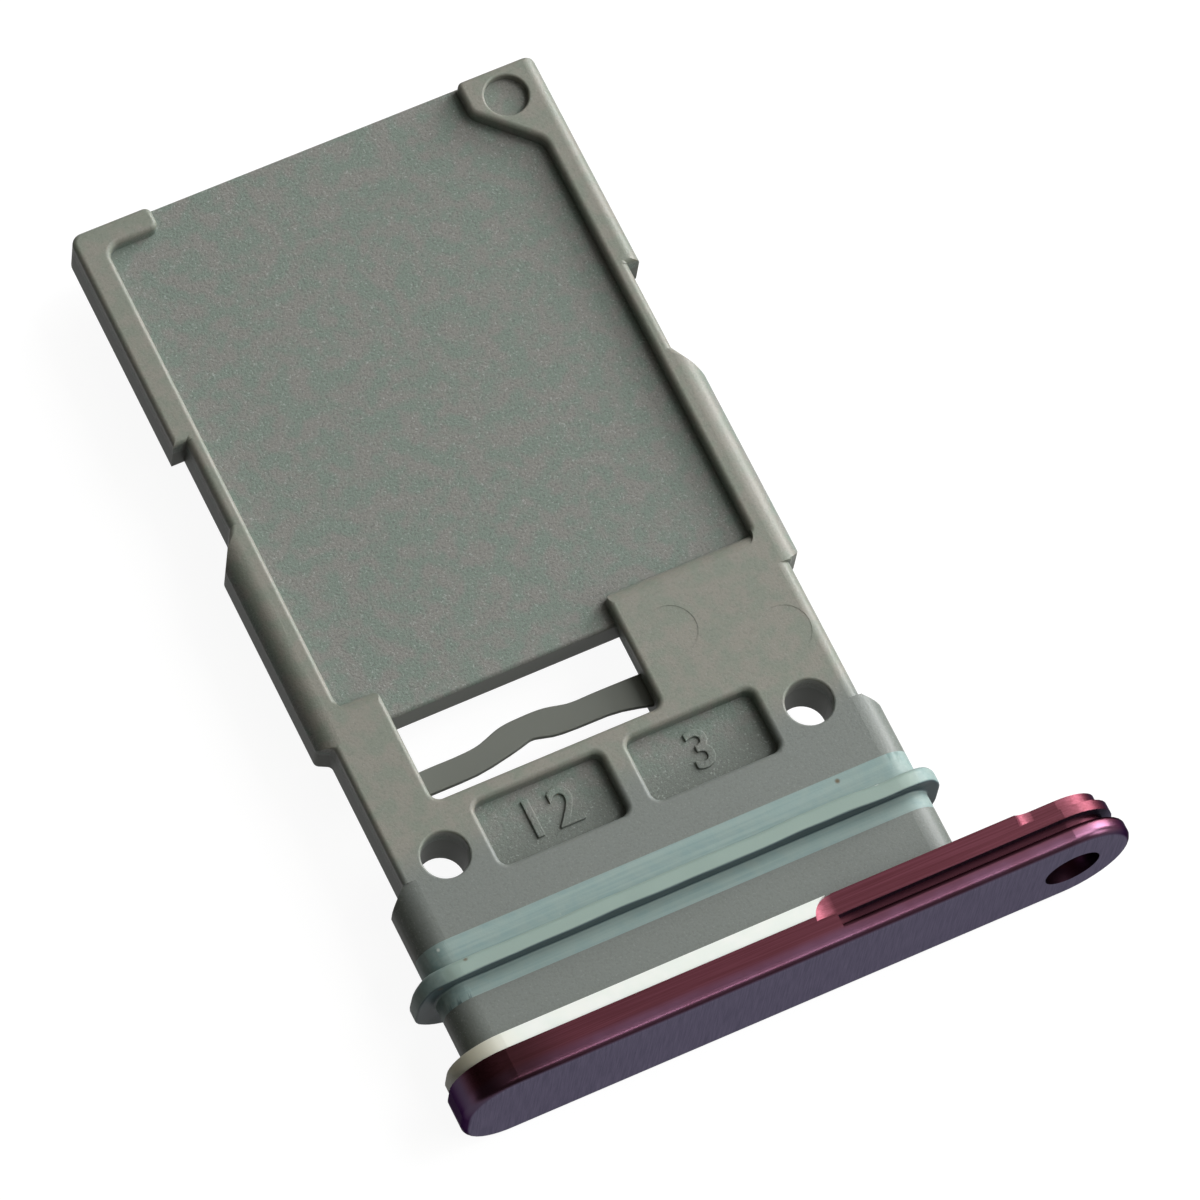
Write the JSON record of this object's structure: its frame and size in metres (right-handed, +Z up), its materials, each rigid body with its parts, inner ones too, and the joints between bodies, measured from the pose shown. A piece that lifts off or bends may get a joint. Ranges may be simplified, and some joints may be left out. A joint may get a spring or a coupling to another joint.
{
  "type": "sim card tray",
  "caption": "Flat phone tray that slides a nano-size card in; metal bezel with an eject-pin hole, soft seal round the neck, moulded card pocket with a spring beam",
  "frame": {"origin": "under the middle of the whole part: centre of the bezel's width, half of the overall length, level with the underside of the bezel", "axes": "+Z up out of the card pocket, +Y from the bezel towards the far end (the way the tray slides into the phone), +X to the right with the eject-pin hole on the +X side"},
  "size_m": [0.0146, 0.02, 0.0027],
  "materials": {
    "tray_plastic": "grey moulded plastic with a fine spark-eroded texture",
    "seal_rubber": "bluish-grey soft silicone, satin",
    "bezel_metal": "burgundy to purple anodised, fine brushed front face",
    "spacer_plastic": "plain white"
  },
  "bodies": {
    "root": {"tray_body": "tray_plastic", "seal_ring": "seal_rubber", "bezel": "bezel_metal", "bezel_spacer": "spacer_plastic"}
  },
  "joints": []
}
